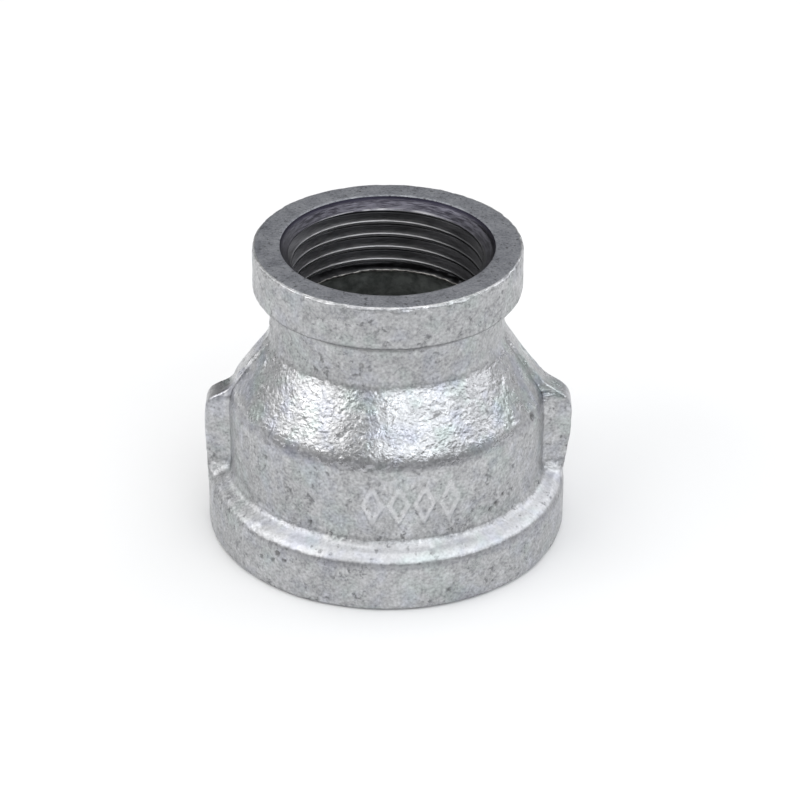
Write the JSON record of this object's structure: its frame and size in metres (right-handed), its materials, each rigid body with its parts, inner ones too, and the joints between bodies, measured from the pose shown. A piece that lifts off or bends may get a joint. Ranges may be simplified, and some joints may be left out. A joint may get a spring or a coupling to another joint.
{
  "type": "concentric reducer",
  "caption": "Concentric pipe reducer, cast whole, with a female pipe thread in each banded end, a cone between them and a rib with a lug down each side.",
  "frame": {"origin": "centre of the large end's face, which is the bottom of the part as it stands", "axes": "+Z along the pipe axis from the large end to the small end; the two ribs lie on +X and -X"},
  "size_m": [0.0598, 0.0584, 0.05],
  "materials": {
    "galvanised_iron": "hot-dip zinc over cast malleable iron, satin grey, hammered on the cone and finely pitted elsewhere; end faces and cut threads are darker bare metal"
  },
  "bodies": {
    "root": {"reducer_casting": "galvanised_iron"}
  },
  "joints": []
}
